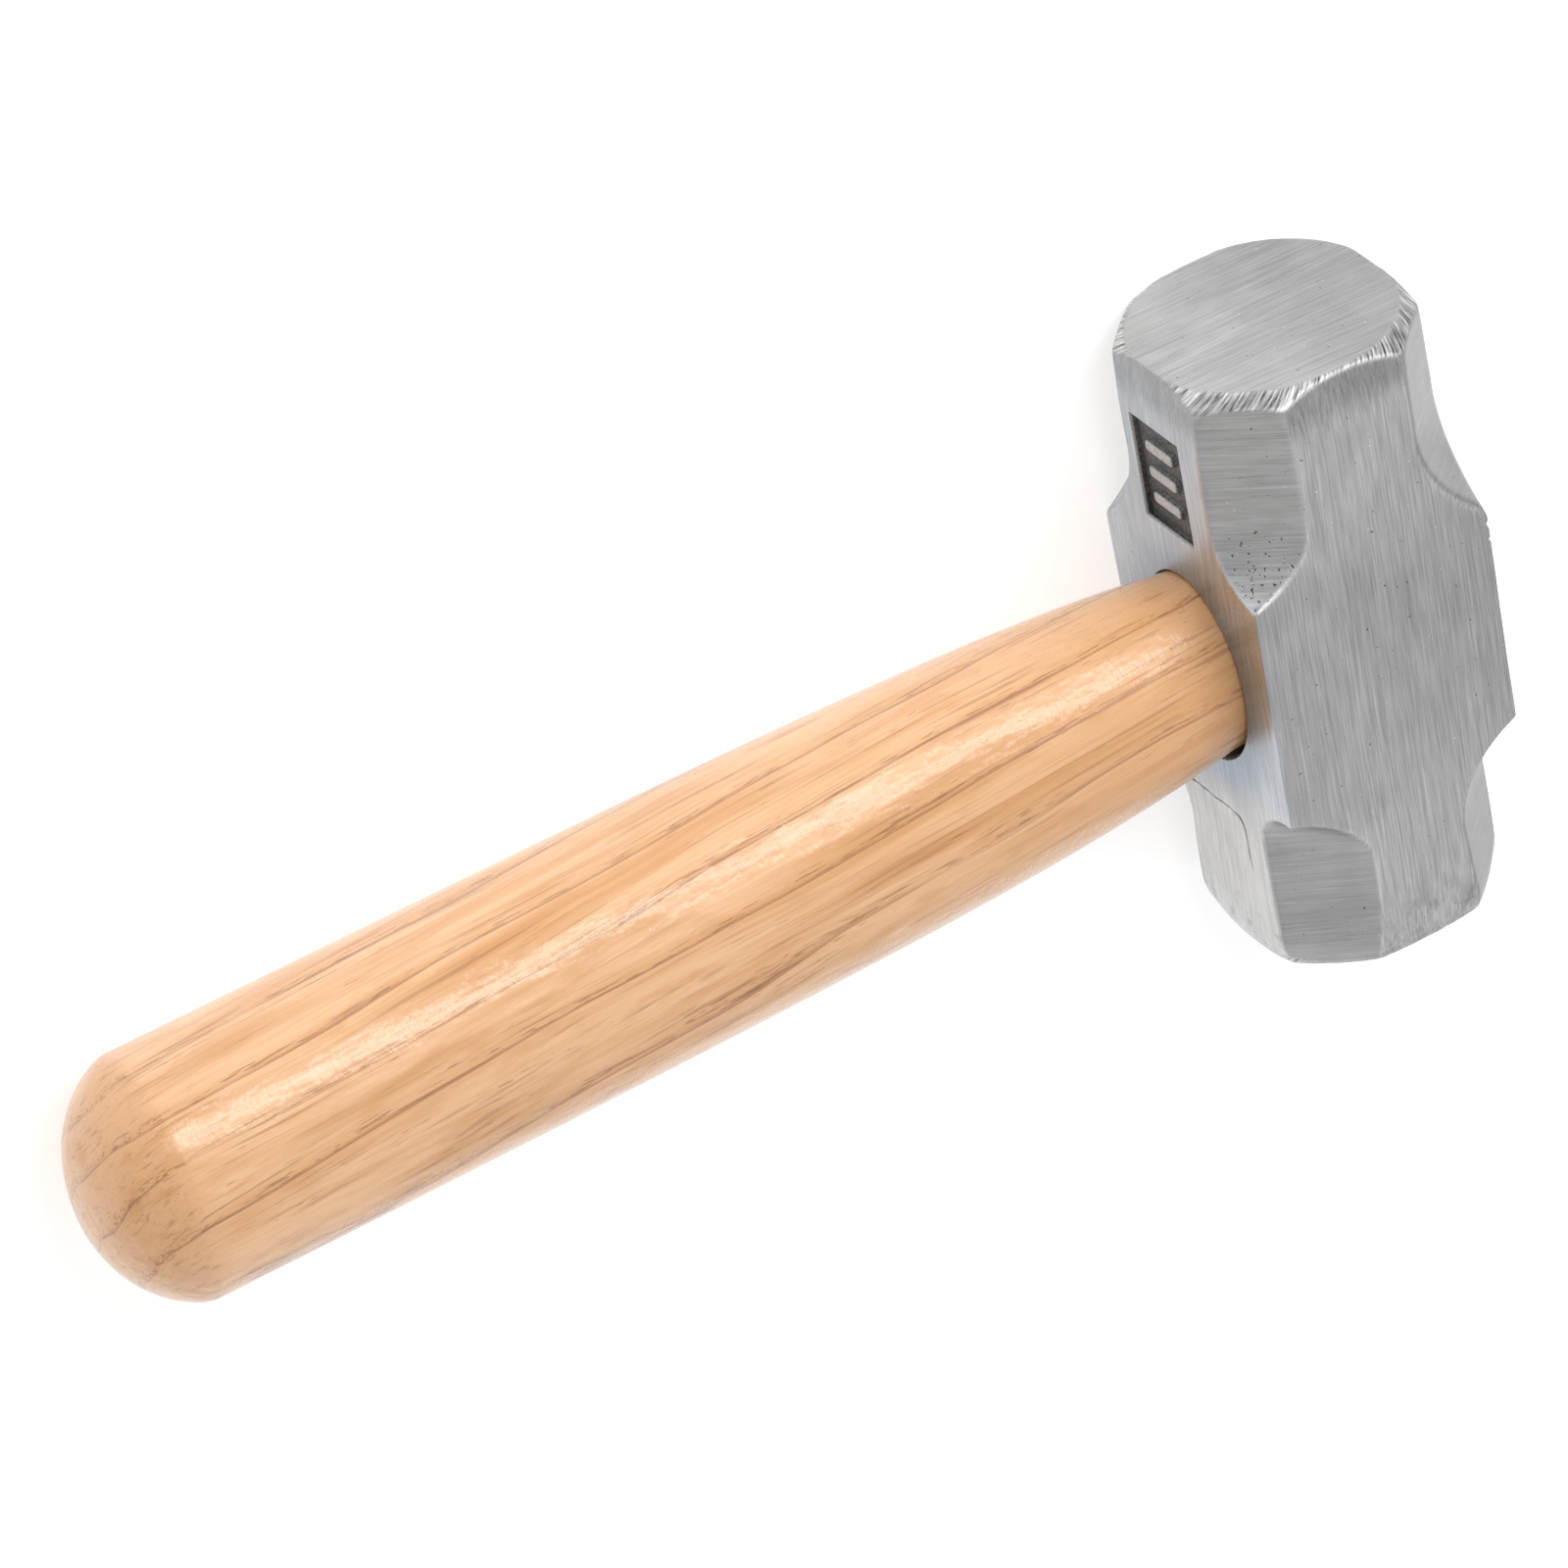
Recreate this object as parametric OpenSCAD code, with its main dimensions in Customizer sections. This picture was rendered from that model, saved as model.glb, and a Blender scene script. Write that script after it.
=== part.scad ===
// Lump hammer: an octagon-ended steel head on a short shaped wooden handle.
// It lies on one cheek. +Z is up, out of the other cheek.
// +Y runs along the striking axis, towards the marked half of the head.
// +X runs from the butt of the handle to the head. The origin is on the resting
// cheek, straight below the point where the handle axis crosses the striking axis.

/* [Head] */
// Width of the square steel body, across the cheeks and across the eye faces
head_w = 31.2; // [29:0.1:33]
// Length of the head between its two striking faces
head_l = 79; // [74:0.5:86]
// Radius of the flat part of each striking face
face_r = 15.3; // [14.5:0.1:15.4]
// Height of the 45 degree bevel around each striking face
face_bevel = 1.6; // [1:0.1:2.4]
// Half length of the full square corners left beside the eye
corner_half = 14.4; // [12:0.1:16]
// Radius of the hollow that ends each corner chamfer
runout_r = 17; // [13:0.5:20]
// Length over which the four sides curve in towards each striking face
relief_l = 9; // [5:0.5:11]
// Depth of that curve at the striking face
relief_depth = 0.6; // [0.3:0.1:1]

/* [Eye] */
// Length of the eye along the striking axis
eye_l = 25.4; // [24:0.2:27]
// Width of the eye from cheek to cheek
eye_w = 19.2; // [19.2:0.1:20.5]

/* [Marked Panel] */
// Length of the sunk panel along the striking axis
panel_l = 14; // [10:0.1:16]
// Width of the sunk panel
panel_w = 10; // [7:0.1:11]
// Depth of the sunk panel below the eye face
panel_depth = 0.7; // [0.3:0.1:1.2]
// Distance of the panel's middle from the handle axis
panel_place = 24.6; // [24:0.1:27]
// Distance of the panel's middle below the middle of the handle side
panel_drop = 0.8; // [0:0.1:1]
// Number of plain raised bars in the panel
bar_count = 3; // [1:1:4]

/* [Handle] */
// Distance from the striking axis to the tip of the butt
handle_reach = 159; // [130:1:190]
// Greatest depth of the grip, along the striking axis
grip_depth = 29.5; // [26:0.1:30]
// Greatest width of the grip, from cheek to cheek
grip_width = 26; // [23:0.1:27]
// Depth of the neck where the grip meets the head
neck_depth = 22.6; // [20:0.1:23]
// Width of the neck where the grip meets the head
neck_width = 19; // [17:0.1:19]
// Distance over which the neck swells into the grip
swell_length = 23.5; // [16:0.5:32]
// Length of the conical butt chamfer
butt_chamfer = 6; // [4:0.1:9]
// Height of the shallow dome at the tip of the butt
butt_dome = 2.1; // [1:0.1:4]
// Depth of the dome's rim as a share of the grip depth
butt_share = 0.63; // [0.5:0.01:0.75]
// Height by which the tenon stands proud of the head
tenon_proud = 1; // [0.5:0.1:3]

/* [Wedges] */
// Depth to which the wooden wedge is driven
wood_wedge_h = 19; // [12:0.5:20]
// Thickness of the wooden wedge at its driven end
wood_wedge_t = 4.2; // [3:0.1:5]
// Length of the wooden wedge along the eye
wood_wedge_l = 21; // [18:0.5:22]
// Depth to which each steel wedge is driven
steel_wedge_h = 16; // [10:0.5:18]
// Thickness of each steel wedge at its driven end
steel_wedge_t = 2.6; // [1.8:0.1:3]
// Width of each steel wedge
steel_wedge_w = 12; // [8:0.5:13]
// Distance of each steel wedge from the handle axis
steel_wedge_place = 5.5; // [4:0.1:7]

/* [Hidden] */
$fn = 96;
half_w = head_w / 2;
half_l = head_l / 2;
top_x = half_w + tenon_proud;
over = 1;                      // overshoot that keeps cuts clear of the faces they pass

// Corner chamfers: their planes lie just outside the circle inscribed in the square,
// so that each end of the head is close to a regular octagon.
ridge_r = half_w * sqrt(2);
chamfer_r = half_w * 1.01;
cut_depth = ridge_r - chamfer_r;
runout_angle = acos(1 - cut_depth / runout_r);
runout_l = runout_r * sin(runout_angle);
cut_over = 6;
cut_w = 60;

// Sides that curve in near the faces: arcs tangent to the flat side
relief_r = (relief_l * relief_l + relief_depth * relief_depth) / (2 * relief_depth);

// Envelope around the striking faces, wider than the corners of the body
envelope_flare = 8;

// Raised bars, evenly spread over the panel
bar_l = panel_w * 0.56;
bar_w = panel_l * 0.11;
bar_h = panel_depth * 0.7;
bar_pitch = panel_l / (bar_count + 1);

// Handle sections are superellipses. The steps are short at the neck, where the
// grip swells fastest.
section_power = 2 / 2.2;
section_sides = 48;
grip_steps = 18;
step_growth = 1.6;
dome_steps = 4;
dome_tip_share = 0.06;
neck_in = 4;                   // the neck reaches this far into the eye
tenon_in = 3;                  // the full tenon starts this far inside the eye
neck_start = half_w - neck_in;
dome_start = handle_reach - butt_dome;
chamfer_start = dome_start - butt_chamfer;

// Wedges and their kerf
wood_tip_t = 0.8;
kerf_w = 1.6;
kerf_extra = 4;
steel_tip_t = 0.8;
step_count = 4;
step_undercut = 1.6;           // each step is thinner at its foot than the next one's head

// Half size of the grip at distance d from the eye face, swelling from neck to full
function swell(full, neck, d) = full - (full - neck) * exp(-max(d, 0) / swell_length);
function half_depth(d) = swell(grip_depth, neck_depth, d) / 2;
function half_width(d) = swell(grip_width, neck_width, d) / 2;

// One section: [distance from the striking axis, half depth, half width]
function grip_station(i) =
    let (at = neck_start + (chamfer_start - neck_start) * pow(i / grip_steps, step_growth))
    [at, half_depth(at - half_w), half_width(at - half_w)];
butt = grip_station(grip_steps);
function dome_station(i) =
    let (a = 90 * i / dome_steps, share = butt_share * max(cos(a), dome_tip_share))
    [dome_start + butt_dome * sin(a), butt[1] * share, butt[2] * share];
stations = concat(
    [for (i = [0 : grip_steps]) grip_station(i)],
    [for (i = [0 : dome_steps]) dome_station(i)]
);

// Points of one section, a superellipse around the handle axis
function power(v) = sign(v) * pow(abs(v), section_power);
function section_points(s) = [
    for (i = [0 : section_sides - 1])
        let (a = 360 * i / section_sides)
        [-s[0], s[1] * power(cos(a)), half_w + s[2] * power(sin(a))]
];

// Outline of the eye: two half rounds joined by flats
module eye_outline() {
    straight = eye_l - eye_w;
    square([straight, eye_w], center = true);
    for (side = [-1, 1])
        translate([side * straight / 2, 0])
            circle(d = eye_w);
}

// Prism with the eye's outline, from x0 to x1 along the handle axis
module eye_prism(x0, x1) {
    translate([x0, 0, half_w])
        rotate([90, 0, 90])
            linear_extrude(x1 - x0)
                eye_outline();
}

// Side view of one corner cut: x is the distance from the striking axis along the
// diagonal, y the place along the head. The hollow starts at corner_half, and the
// chamfer ends in a 45 degree bevel at the striking face.
module corner_cut_outline() {
    difference() {
        translate([chamfer_r, corner_half])
            square([cut_depth + cut_over, half_l]);
        difference() {
            translate([chamfer_r - over, corner_half - over])
                square([cut_depth + cut_over + 2 * over, runout_l + over]);
            translate([chamfer_r + runout_r, corner_half + runout_l])
                circle(r = runout_r);
        }
    }
    polygon([
        [chamfer_r + over, half_l - face_bevel - over],
        [chamfer_r + over, half_l + over],
        [chamfer_r - face_bevel - over, half_l + over]
    ]);
}

// The four corner cuts at one end of the head
module corner_cuts() {
    for (turn = [45, 135, 225, 315])
        rotate([0, turn, 0])
            translate([0, 0, -cut_w / 2])
                linear_extrude(cut_w)
                    corner_cut_outline();
}

// Outline of the body seen from a side: straight, with both ends curving in
module side_outline() {
    straight = head_l - 2 * relief_l;
    square([head_w, straight], center = true);
    for (end = [0, 1])
        mirror([0, end, 0])
            intersection() {
                translate([-half_w, straight / 2 - over])
                    square([head_w, relief_l + over]);
                translate([half_w - relief_r, straight / 2])
                    circle(r = relief_r, $fn = 360);
                translate([relief_r - half_w, straight / 2])
                    circle(r = relief_r, $fn = 360);
            }
}

// Square bar whose four sides curve in towards the striking faces
module bar() {
    intersection() {
        linear_extrude(head_w)
            side_outline();
        translate([-half_w, 0, half_w])
            rotate([0, 90, 0])
                linear_extrude(head_w)
                    side_outline();
    }
}

// Round envelope that gives each end its circular face and bevel
module face_envelope() {
    wide = face_r + face_bevel + envelope_flare;
    low = half_l - face_bevel - envelope_flare;
    translate([0, 0, half_w])
        rotate([90, 0, 0])
            rotate_extrude()
                polygon([
                    [0, -half_l],
                    [face_r, -half_l],
                    [wide, -low],
                    [wide, low],
                    [face_r, half_l],
                    [0, half_l]
                ]);
}

// Sunk panel on the handle side, less its raised bars
module panel_cut() {
    translate([-half_w, panel_place, half_w - panel_drop])
        difference() {
            translate([(panel_depth - over) / 2, 0, 0])
                cube([panel_depth + over, panel_l, panel_w], center = true);
            for (i = [1 : bar_count])
                translate([panel_depth, i * bar_pitch - panel_l / 2, 0])
                    cube([2 * bar_h, bar_w, bar_l], center = true);
        }
}

module head() {
    color("silver")
        difference() {
            intersection() {
                bar();
                face_envelope();
            }
            translate([0, 0, half_w]) {
                corner_cuts();
                mirror([0, 1, 0]) corner_cuts();
            }
            eye_prism(-half_w - over, half_w + over);
            panel_cut();
        }
}

// Grip: rings of section points, closed at both ends
module grip() {
    rings = len(stations);
    points = [for (s = stations) each section_points(s)];
    walls = [
        for (r = [0 : rings - 2], i = [0 : section_sides - 1])
            let (j = (i + 1) % section_sides, near = r * section_sides, far = near + section_sides)
            [near + i, near + j, far + j, far + i]
    ];
    neck_end = [for (i = [section_sides - 1 : -1 : 0]) i];
    butt_end = [for (i = [0 : section_sides - 1]) (rings - 1) * section_sides + i];
    polyhedron(points, concat(walls, [neck_end, butt_end]));
}

// Tenon: fills the eye, but is cut back along the striking axis towards the neck
module tenon() {
    start = tenon_in - half_w;
    intersection() {
        eye_prism(start, top_x);
        linear_extrude(head_w)
            polygon([
                [start, -neck_depth / 2],
                [0, -eye_l / 2],
                [top_x, -eye_l / 2],
                [top_x, eye_l / 2],
                [0, eye_l / 2],
                [start, neck_depth / 2]
            ]);
    }
}

// Solid with the wooden wedge's tapered section, as long as asked
module wood_wedge_solid(length) {
    translate([0, length / 2, half_w])
        rotate([90, 0, 0])
            linear_extrude(length)
                polygon([
                    [top_x, wood_wedge_t / 2],
                    [top_x - wood_wedge_h, wood_tip_t / 2],
                    [top_x - wood_wedge_h, -wood_tip_t / 2],
                    [top_x, -wood_wedge_t / 2]
                ]);
}

// Saw kerf in the tenon: opened by the wedge, narrow below it
module kerf() {
    length = eye_l + 2 * over;
    wood_wedge_solid(length);
    translate([top_x - wood_wedge_h - kerf_extra, -length / 2, half_w - kerf_w / 2])
        cube([kerf_extra + wood_wedge_h / 2, length, kerf_w]);
}

// Steel wedge with stepped faces, thickest at the driven end
module steel_wedge_solid(place) {
    step_h = steel_wedge_h / step_count;
    step_t = (steel_wedge_t - steel_tip_t) / (2 * step_count);
    for (i = [0 : step_count - 1])
        let (wide = steel_wedge_t / 2 - i * step_t, narrow = wide - step_undercut * step_t)
            translate([top_x - (i + 1) * step_h, place, half_w - steel_wedge_w / 2])
                linear_extrude(steel_wedge_w)
                    polygon([[0, -narrow], [step_h, -wide], [step_h, wide], [0, narrow]]);
}

module steel_wedges() {
    for (side = [-1, 1])
        steel_wedge_solid(side * steel_wedge_place);
}

module handle() {
    color("burlywood")
        difference() {
            union() {
                grip();
                tenon();
            }
            kerf();
            steel_wedges();
        }
}

module wooden_wedge() {
    color("peru")
        difference() {
            wood_wedge_solid(wood_wedge_l);
            steel_wedges();
        }
}

module steel_wedge_1() {
    color("dimgray")
        steel_wedge_solid(steel_wedge_place);
}

module steel_wedge_2() {
    color("dimgray")
        steel_wedge_solid(-steel_wedge_place);
}

head();
handle();
wooden_wedge();
steel_wedge_1();
steel_wedge_2();
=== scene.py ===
import math
from collections import namedtuple

import bpy
import numpy as np
from mathutils import Matrix, Vector


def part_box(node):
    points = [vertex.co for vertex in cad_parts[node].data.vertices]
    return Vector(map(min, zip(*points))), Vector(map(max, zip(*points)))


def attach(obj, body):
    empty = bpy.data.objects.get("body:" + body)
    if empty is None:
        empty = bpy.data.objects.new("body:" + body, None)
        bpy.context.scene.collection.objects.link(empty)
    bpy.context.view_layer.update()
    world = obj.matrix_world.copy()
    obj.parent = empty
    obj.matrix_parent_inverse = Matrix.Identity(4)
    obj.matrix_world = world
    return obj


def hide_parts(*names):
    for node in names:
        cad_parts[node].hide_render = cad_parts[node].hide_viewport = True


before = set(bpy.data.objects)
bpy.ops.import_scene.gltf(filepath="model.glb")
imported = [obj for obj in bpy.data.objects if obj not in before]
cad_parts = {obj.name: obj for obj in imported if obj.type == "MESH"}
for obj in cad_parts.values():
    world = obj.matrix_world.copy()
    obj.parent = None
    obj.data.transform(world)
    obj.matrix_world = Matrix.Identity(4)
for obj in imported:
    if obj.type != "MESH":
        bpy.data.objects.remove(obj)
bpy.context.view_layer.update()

MM = 0.001
head_lo, head_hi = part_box("head")
handle_lo, handle_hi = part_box("handle")
kerf_lo, kerf_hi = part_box("wooden_wedge")
slot_lo, slot_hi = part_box("steel_wedge_1")

# Sizes in millimetres, read from the frame. Shapes are worked out in millimetres in
# head axes: x towards the wedged end, y along the striking axis, z up from the handle axis.
AXIS_Z = (head_lo.z + head_hi.z) / 2 / MM
HALF_W = (head_hi.x - head_lo.x) / 2 / MM
HALF_L = (head_hi.y - head_lo.y) / 2 / MM
REACH = -handle_lo.x / MM
TOP_X = handle_hi.x / MM
GRIP_DEPTH = (handle_hi.y - handle_lo.y) / 2 / MM
GRIP_WIDTH = (handle_hi.z - handle_lo.z) / 2 / MM


# ---------------------------------------------------------------- mesh helpers

def new_object(name, vertices, faces, smooth=True):
    """A mesh object from millimetre points in head axes."""
    mesh = bpy.data.meshes.new(name)
    points = (np.asarray(vertices, float) + (0.0, 0.0, AXIS_Z)) * MM
    mesh.from_pydata(points.tolist(), [], [list(map(int, f)) for f in faces])
    mesh.update()
    mesh.polygons.foreach_set("use_smooth", [smooth] * len(mesh.polygons))
    obj = bpy.data.objects.new(name, mesh)
    bpy.context.scene.collection.objects.link(obj)
    return obj


def ring_faces(rings, sides):
    """Quads between neighbouring rings of points."""
    near = np.arange(sides)
    far = np.roll(near, -1)
    strips = [np.c_[r * sides + near, r * sides + far, (r + 1) * sides + far, (r + 1) * sides + near]
              for r in range(rings - 1)]
    return np.concatenate(strips)


def fan_faces(ring_start, sides, tip, outward):
    """Triangles from a ring to a tip point."""
    near = ring_start + np.arange(sides)
    far = ring_start + (np.arange(sides) + 1) % sides
    tips = np.full(sides, tip)
    return np.c_[near, far, tips] if outward else np.c_[far, near, tips]


def apply_modifiers(obj):
    """Replaces the object's mesh with the result of its modifiers."""
    graph = bpy.context.evaluated_depsgraph_get()
    made = bpy.data.meshes.new_from_object(obj.evaluated_get(graph), depsgraph=graph)
    old = obj.data
    obj.modifiers.clear()
    obj.data = made
    bpy.data.meshes.remove(old)


def cut(obj, cutter):
    """Boolean difference, applied. The cutter's material lines the cut."""
    mod = obj.modifiers.new("cut", "BOOLEAN")
    mod.operation = "DIFFERENCE"
    mod.solver = "EXACT"
    mod.material_mode = "TRANSFER"
    mod.object = cutter
    apply_modifiers(obj)
    bpy.data.objects.remove(cutter, do_unlink=True)


def smooth_max(a, b, k):
    """The greater of two distances, rounded off where they are within k of each other."""
    h = np.maximum(k - np.abs(a - b), 0.0) / k
    return np.maximum(a, b) + h * h * k / 4


def smooth_step(share):
    """Eases a share between 0 and 1 in and out."""
    share = np.clip(share, 0, 1)
    return share * share * (3 - 2 * share)


def waves(points, size, seed, count=7):
    """Smooth random field of about unit height, from a few seeded sine waves."""
    rng = np.random.default_rng(seed)
    total = np.zeros(len(points))
    for _ in range(count):
        direction = rng.normal(size=3)
        direction *= 2 * math.pi / (size * rng.uniform(0.7, 1.5)) / np.linalg.norm(direction)
        total += np.sin(points @ direction + rng.uniform(0, 2 * math.pi))
    return total / math.sqrt(count / 2)


def set_attribute(obj, name, values):
    """Stores one number per point, for the materials."""
    layer = obj.data.attributes.new(name, "FLOAT", "POINT")
    layer.data.foreach_set("value", np.asarray(values, np.float32))


# ---------------------------------------------------------------- head shape

# Each corner chamfer: the end of the head it is on, the direction its face looks in degrees
# from the wedged side, the distance of that face from the striking axis, the radius of the
# hollow where it runs out, the place along the head where it reaches full depth, how much
# that place shifts across the chamfer, how the face leans out past there, and the rounding
# of its edges
Corner = namedtuple("Corner", "end turn depth radius full skew lean ease")
CORNERS = [
    Corner(1, 131, 16.6, 8, 22, 0, 0, 0.28),
    Corner(1, 45, 16.6, 20, 26.9, 0, 0, 0.8),
    Corner(1, 225, 16.6, 17, 25.8, 0, 0, 0.5),
    Corner(1, 315, 16.2, 17, 27, 0, 0, 0.28),
    Corner(-1, 125, 16.0, 7, 23.3, 0.3, 0, 0.28),
    Corner(-1, 45, 15.7, 13, 26.6, 0, 0.03, 0.4),
    Corner(-1, 225, 16.4, 14, 26, 0, 0.04, 0.28),
    Corner(-1, 315, 16.0, 17, 27, 0, 0.04, 0.28),
]

# For each end of the head: the radius of the flat face, how far its middle sits off the axis
# in x and z, how far from the face the four sides start to curve in and how deep they curve,
# the rounding of the bevel, the bevel's slope, and how square the face's outline is
End = namedtuple("End", "face_r middle curve_l curve_depth ease slope power")
ENDS = {
    1: End(15.15, (0.05, -0.55), 9, 0.6, 0.22, 0.85, 2.1),
    -1: End(16.3, (0.2, 0.3), 12, 0.75, 2.4, 1.0, 2.0),
}

# The four sides: the way each looks in x and z, and how much of that curve it has at the
# upper and the lower end
Side = namedtuple("Side", "x z upper lower")
SIDES = (Side(1, 0, 1.0, 0.7), Side(0, 1, 1.0, 1.0), Side(-1, 0, 1.0, 0.35), Side(0, -1, 0.15, 0.15))

# The bevel over the front corner of the upper end is a flat one: the direction it looks in
# degrees, its distance from the axis where it meets the face, and its rise and run
FRONT_TURN = 130
FRONT_CHORD = 14.65
FRONT_RISE = 1.6
FRONT_RUN = 2.3

# Small dents on an edge: where, and their radius
NICKS = (((15.6, 11.4, 15.6), 0.38), ((15.6, 9.3, 15.6), 0.3))

# Rounding of the edges between sides, round the flat bevel, round the striking faces and
# round a nick, and how far a striking face falls away towards its rim
SIDE_EASE = 0.25
BEVEL_EASE = 0.22
FACE_EASE = 0.18
NICK_EASE = 0.1
FACE_CROWN = 0.1

# A forging seam on the handle side of the lower end: the flat beyond it lies a little low
SEAM_Y = -19.7
SEAM_Z = 4.6
SEAM_ROUND = 3.0
SEAM_STEP = 0.22
SEAM_SLOPE = 0.3
SEAM_FADE_START = 4
SEAM_FADE_END = 10

# Edges sharper than this are shaded as creases
HEAD_CREASE = math.radians(38)
HANDLE_CREASE = math.radians(35)

# The mesh: rings across each face, round each rim and along the body, and points in a ring
FACE_RINGS = 12
RIM_RINGS = 31
BODY_RINGS = 194
RING_POINTS = 312
# The core that the rays start from, and how closely they find the surface
FIRST_RING_R = 0.9
CORE_R = 12.0
CORE_INSET = 4.0
RAY_LENGTH = 12.0
RAY_HALVINGS = 24
# Depth and size of the shallow unevenness left by forging and grinding
BROAD_DIP = 0.03
BROAD_SIZE = 24
FINE_DIP = 0.012
FINE_SIZE = 7


def seam_inside(p):
    """1 on the low flat beyond the seam, fading to 0 towards the lower face."""
    reach = smooth_max(p[:, 1] - SEAM_Y, p[:, 2] - SEAM_Z, SEAM_ROUND)
    step = np.clip(0.5 - reach / SEAM_SLOPE, 0, 1)
    fade = np.clip((p[:, 1] - SEAM_Y + SEAM_FADE_END) / (SEAM_FADE_END - SEAM_FADE_START), 0, 1)
    return step * fade


def corner_distance(p, corner):
    """Signed distance to one corner chamfer with its hollow run-out."""
    c = math.cos(math.radians(corner.turn))
    s = math.sin(math.radians(corner.turn))
    across = p[:, 0] * c + p[:, 2] * s
    along = p[:, 1] * corner.end - corner.skew * (p[:, 0] * s - p[:, 2] * c)
    past = along - corner.full
    outer = corner.depth + corner.radius
    flat = across - corner.depth - corner.lean * past
    hollow = corner.radius - np.hypot(across - outer, past)
    wall = past + corner.radius
    return np.where(past >= 0, flat, np.where(across < outer, hollow, wall))


def end_inset(p, end):
    """How far the sides have curved in towards one end."""
    sizes = ENDS[end]
    past = np.clip((p[:, 1] * end - (HALF_L - sizes.curve_l)) / sizes.curve_l, 0, None)
    return sizes.curve_depth * past ** 2


def side_distances(p):
    """Signed distances to the four sides, which curve in near the faces."""
    upper = end_inset(p, 1)
    lower = end_inset(p, -1)
    distances = []
    for side in SIDES:
        inset = upper * side.upper + lower * side.lower
        distance = p[:, 0] * side.x + p[:, 2] * side.z - HALF_W + inset
        if side.x < 0:
            distance = distance + SEAM_STEP * seam_inside(p)
        distances.append(distance)
    return distances


def front_bevel_distance(p):
    """Signed distance to the flat bevel over the front corner of the upper end."""
    angle = math.radians(FRONT_TURN)
    across = p[:, 0] * math.cos(angle) + p[:, 2] * math.sin(angle)
    climb = FRONT_RISE * (across - FRONT_CHORD) + FRONT_RUN * (p[:, 1] - HALF_L)
    return climb / math.hypot(FRONT_RISE, FRONT_RUN)


def end_distances(p, end):
    """Signed distances to one end's bevel and striking face."""
    sizes = ENDS[end]
    along = p[:, 1] * end
    out_x = np.abs(p[:, 0] - sizes.middle[0])
    out_z = np.abs(p[:, 2] - sizes.middle[1])
    radius = (out_x ** sizes.power + out_z ** sizes.power) ** (1 / sizes.power)
    cone = (sizes.slope * (radius - sizes.face_r) + along - HALF_L) / math.hypot(sizes.slope, 1)
    if end > 0:
        cone = smooth_max(cone, front_bevel_distance(p), BEVEL_EASE)
    face = along - HALF_L + FACE_CROWN * (radius / sizes.face_r) ** 2
    return cone, face


def head_distance(p):
    """Signed distance-like field of the head: below zero inside."""
    body = None
    for side in side_distances(p):
        body = side if body is None else smooth_max(body, side, SIDE_EASE)
    for corner in CORNERS:
        body = smooth_max(body, corner_distance(p, corner), corner.ease)
    for end, sizes in ENDS.items():
        cone, face = end_distances(p, end)
        body = smooth_max(body, cone, sizes.ease)
        body = smooth_max(body, face, FACE_EASE)
    for place, size in NICKS:
        body = smooth_max(body, size - np.linalg.norm(p - place, axis=1), NICK_EASE)
    return body


def head_rays():
    """Start points and directions that cover the head: across each face, round each rim
    in a fan, and out from the axis along the body."""
    core_l = HALF_L - CORE_INSET
    upper = []
    for r in np.linspace(FIRST_RING_R, CORE_R, FACE_RINGS + 1)[:-1]:
        upper.append((r, core_l, 0.0, 1.0))
    for b in np.linspace(math.pi / 2, 0, RIM_RINGS):
        upper.append((CORE_R, core_l, math.cos(b), math.sin(b)))
    middle = [(CORE_R, y, 1.0, 0.0) for y in np.linspace(core_l, -core_l, BODY_RINGS + 2)[1:-1]]
    lower = [(r, -y, dr, -dy) for r, y, dr, dy in reversed(upper)]
    stations = np.array(upper + middle + lower)
    angle = np.linspace(0, 2 * math.pi, RING_POINTS, endpoint=False)
    out = np.stack([np.cos(angle), np.zeros(RING_POINTS), np.sin(angle)], 1)
    axis = np.array([0.0, 1.0, 0.0])
    start = stations[:, None, 0, None] * out + stations[:, None, 1, None] * axis
    ray = stations[:, None, 2, None] * out + stations[:, None, 3, None] * axis
    return len(stations), start.reshape(-1, 3), ray.reshape(-1, 3)


def unevenness(points):
    """How far each point lies below the true surface, as a number below zero."""
    broad = BROAD_DIP * waves(points, BROAD_SIZE, seed=3)
    fine = FINE_DIP * waves(points, FINE_SIZE, seed=4)
    return np.minimum(broad + fine - BROAD_DIP, 0)


def head_surface():
    """The head's outer surface, found along the rays by halving."""
    rings, start, ray = head_rays()
    near = np.zeros(len(start))
    far = np.full(len(start), RAY_LENGTH)
    for _ in range(RAY_HALVINGS):
        middle = (near + far) / 2
        outside = head_distance(start + ray * middle[:, None]) > 0
        far = np.where(outside, middle, far)
        near = np.where(outside, near, middle)
    points = start + ray * near[:, None]
    points = points + ray * unevenness(points)[:, None]
    last = (rings - 1) * RING_POINTS
    total = rings * RING_POINTS
    tips = [(0, HALF_L, 0), (0, -HALF_L, 0)]
    faces = ring_faces(rings, RING_POINTS).tolist()
    faces += fan_faces(0, RING_POINTS, total, False).tolist()
    faces += fan_faces(last, RING_POINTS, total + 1, True).tolist()
    return new_object("hammer_head", np.concatenate([points, tips]), faces)


# Widths over which one kind of surface gives way to the next, and an edge shows its wear and a painted
# highlight
BLEND_WIDTH = 0.12
EDGE_WIDTH = 0.3


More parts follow.
